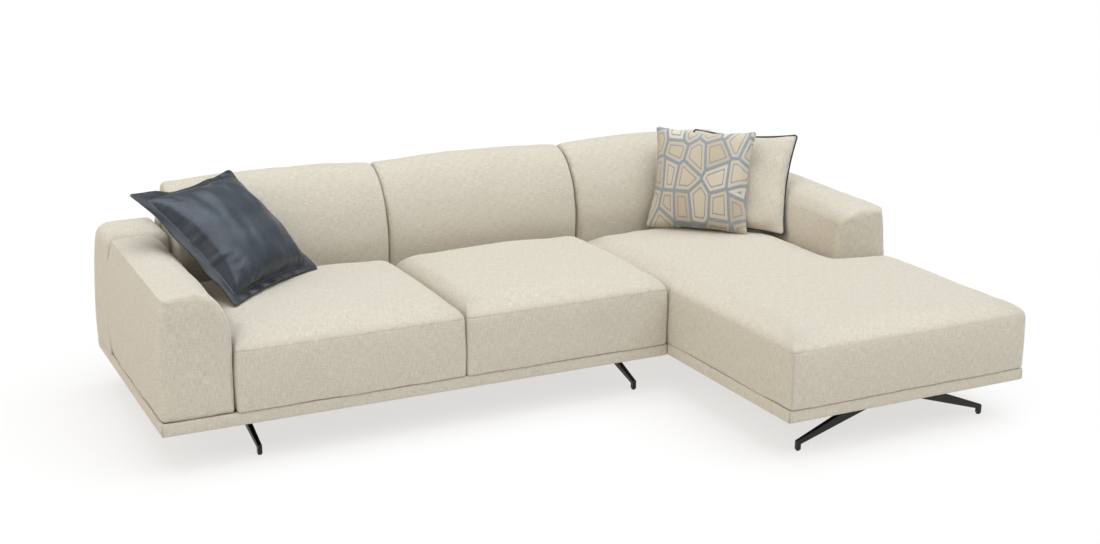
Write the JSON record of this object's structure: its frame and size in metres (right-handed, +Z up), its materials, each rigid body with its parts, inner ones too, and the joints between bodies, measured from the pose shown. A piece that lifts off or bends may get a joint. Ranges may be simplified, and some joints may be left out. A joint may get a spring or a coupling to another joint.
{
  "type": "corner sofa",
  "caption": "Corner sofa with a chaise on the right, upholstered in cream woven fabric, on slim black inverted-V legs, with loose pillows.",
  "frame": {"origin": "on the floor, under the middle of the sofa's outer box", "axes": "+X to the sitter's left along the seats, towards the chaise; +Y to the rear; +Z up"},
  "size_m": [2.916, 1.8571, 0.8517],
  "materials": {
    "upholstery": "woven linen look, matt",
    "timber": "sawn pine",
    "webbing": "elastic webbing",
    "dust_cloth": "thin non-woven cloth",
    "foam": "upholstery foam in wadding",
    "leg_metal": "black satin powder coat",
    "steel": "zinc plated",
    "glide": "matt",
    "navy_leather": "semi-gloss, creased",
    "pattern_fabric": "woven jacquard with blue-grey lines",
    "cream_fabric": "woven, matt",
    "piping_cord": "dark cotton piping"
  },
  "bodies": {
    "sofa": {"arm_bolts": "steel", "chaise_back_panel": "upholstery", "chaise_back_posts": "timber", "chaise_back_rail": "timber", "chaise_dust_cover": "dust_cloth", "chaise_front_and_rear_rails": "timber", "chaise_front_leg": "leg_metal", "chaise_glides": "glide", "chaise_leg_plates": "leg_metal", "chaise_leg_rails": "timber", "chaise_leg_screws": "steel", "chaise_plinth_cover": "upholstery", "chaise_rear_leg": "leg_metal", "chaise_seat_core": "foam", "chaise_seat_cushion": "upholstery", "chaise_seat_webbing": "webbing", "chaise_side_rails": "timber", "joining_plates": "steel", "joining_screws": "steel", "left_arm_pad": "upholstery", "left_arm_posts": "timber", "left_arm_rail": "timber", "left_back_core": "foam", "left_back_cushion": "upholstery", "left_corner_block": "upholstery", "left_seat_core": "foam", "left_seat_cushion": "upholstery", "middle_back_core": "foam", "middle_back_cushion": "upholstery", "middle_seat_core": "foam", "middle_seat_cushion": "upholstery", "right_arm_pad": "upholstery", "right_arm_posts": "timber", "right_arm_rail": "timber", "right_back_core": "foam", "right_back_cushion": "upholstery", "right_corner_block": "upholstery", "sofa_back_panel": "upholstery", "sofa_back_posts": "timber", "sofa_back_rail": "timber", "sofa_dust_cover": "dust_cloth", "sofa_front_and_rear_rails": "timber", "sofa_glides": "glide", "sofa_left_leg": "leg_metal", "sofa_leg_plates": "leg_metal", "sofa_leg_rails": "timber", "sofa_leg_screws": "steel", "sofa_plinth_cover": "upholstery", "sofa_right_leg": "leg_metal", "sofa_seat_webbing": "webbing", "sofa_side_rails": "timber"},
    "leather_pillow": {"leather_pillow_cover": "navy_leather", "leather_pillow_insert": "foam"},
    "patterned_pillow": {"patterned_pillow_cover": "pattern_fabric", "patterned_pillow_insert": "foam"},
    "piped_pillow": {"piped_pillow_cover": "cream_fabric", "piped_pillow_insert": "foam", "pillow_piping": "piping_cord"}
  },
  "joints": [
    {"name": "leather_pillow_lift", "type": "slide", "parent": "sofa", "child": "leather_pillow", "axis": [0, 0, 1], "range_m": [0, 0.45]},
    {"name": "patterned_pillow_lift", "type": "slide", "parent": "sofa", "child": "patterned_pillow", "axis": [0, 0, 1], "range_m": [0, 0.45]},
    {"name": "piped_pillow_lift", "type": "slide", "parent": "sofa", "child": "piped_pillow", "axis": [0.3783, 0.3918, 0.8387], "range_m": [0, 0.5]}
  ]
}
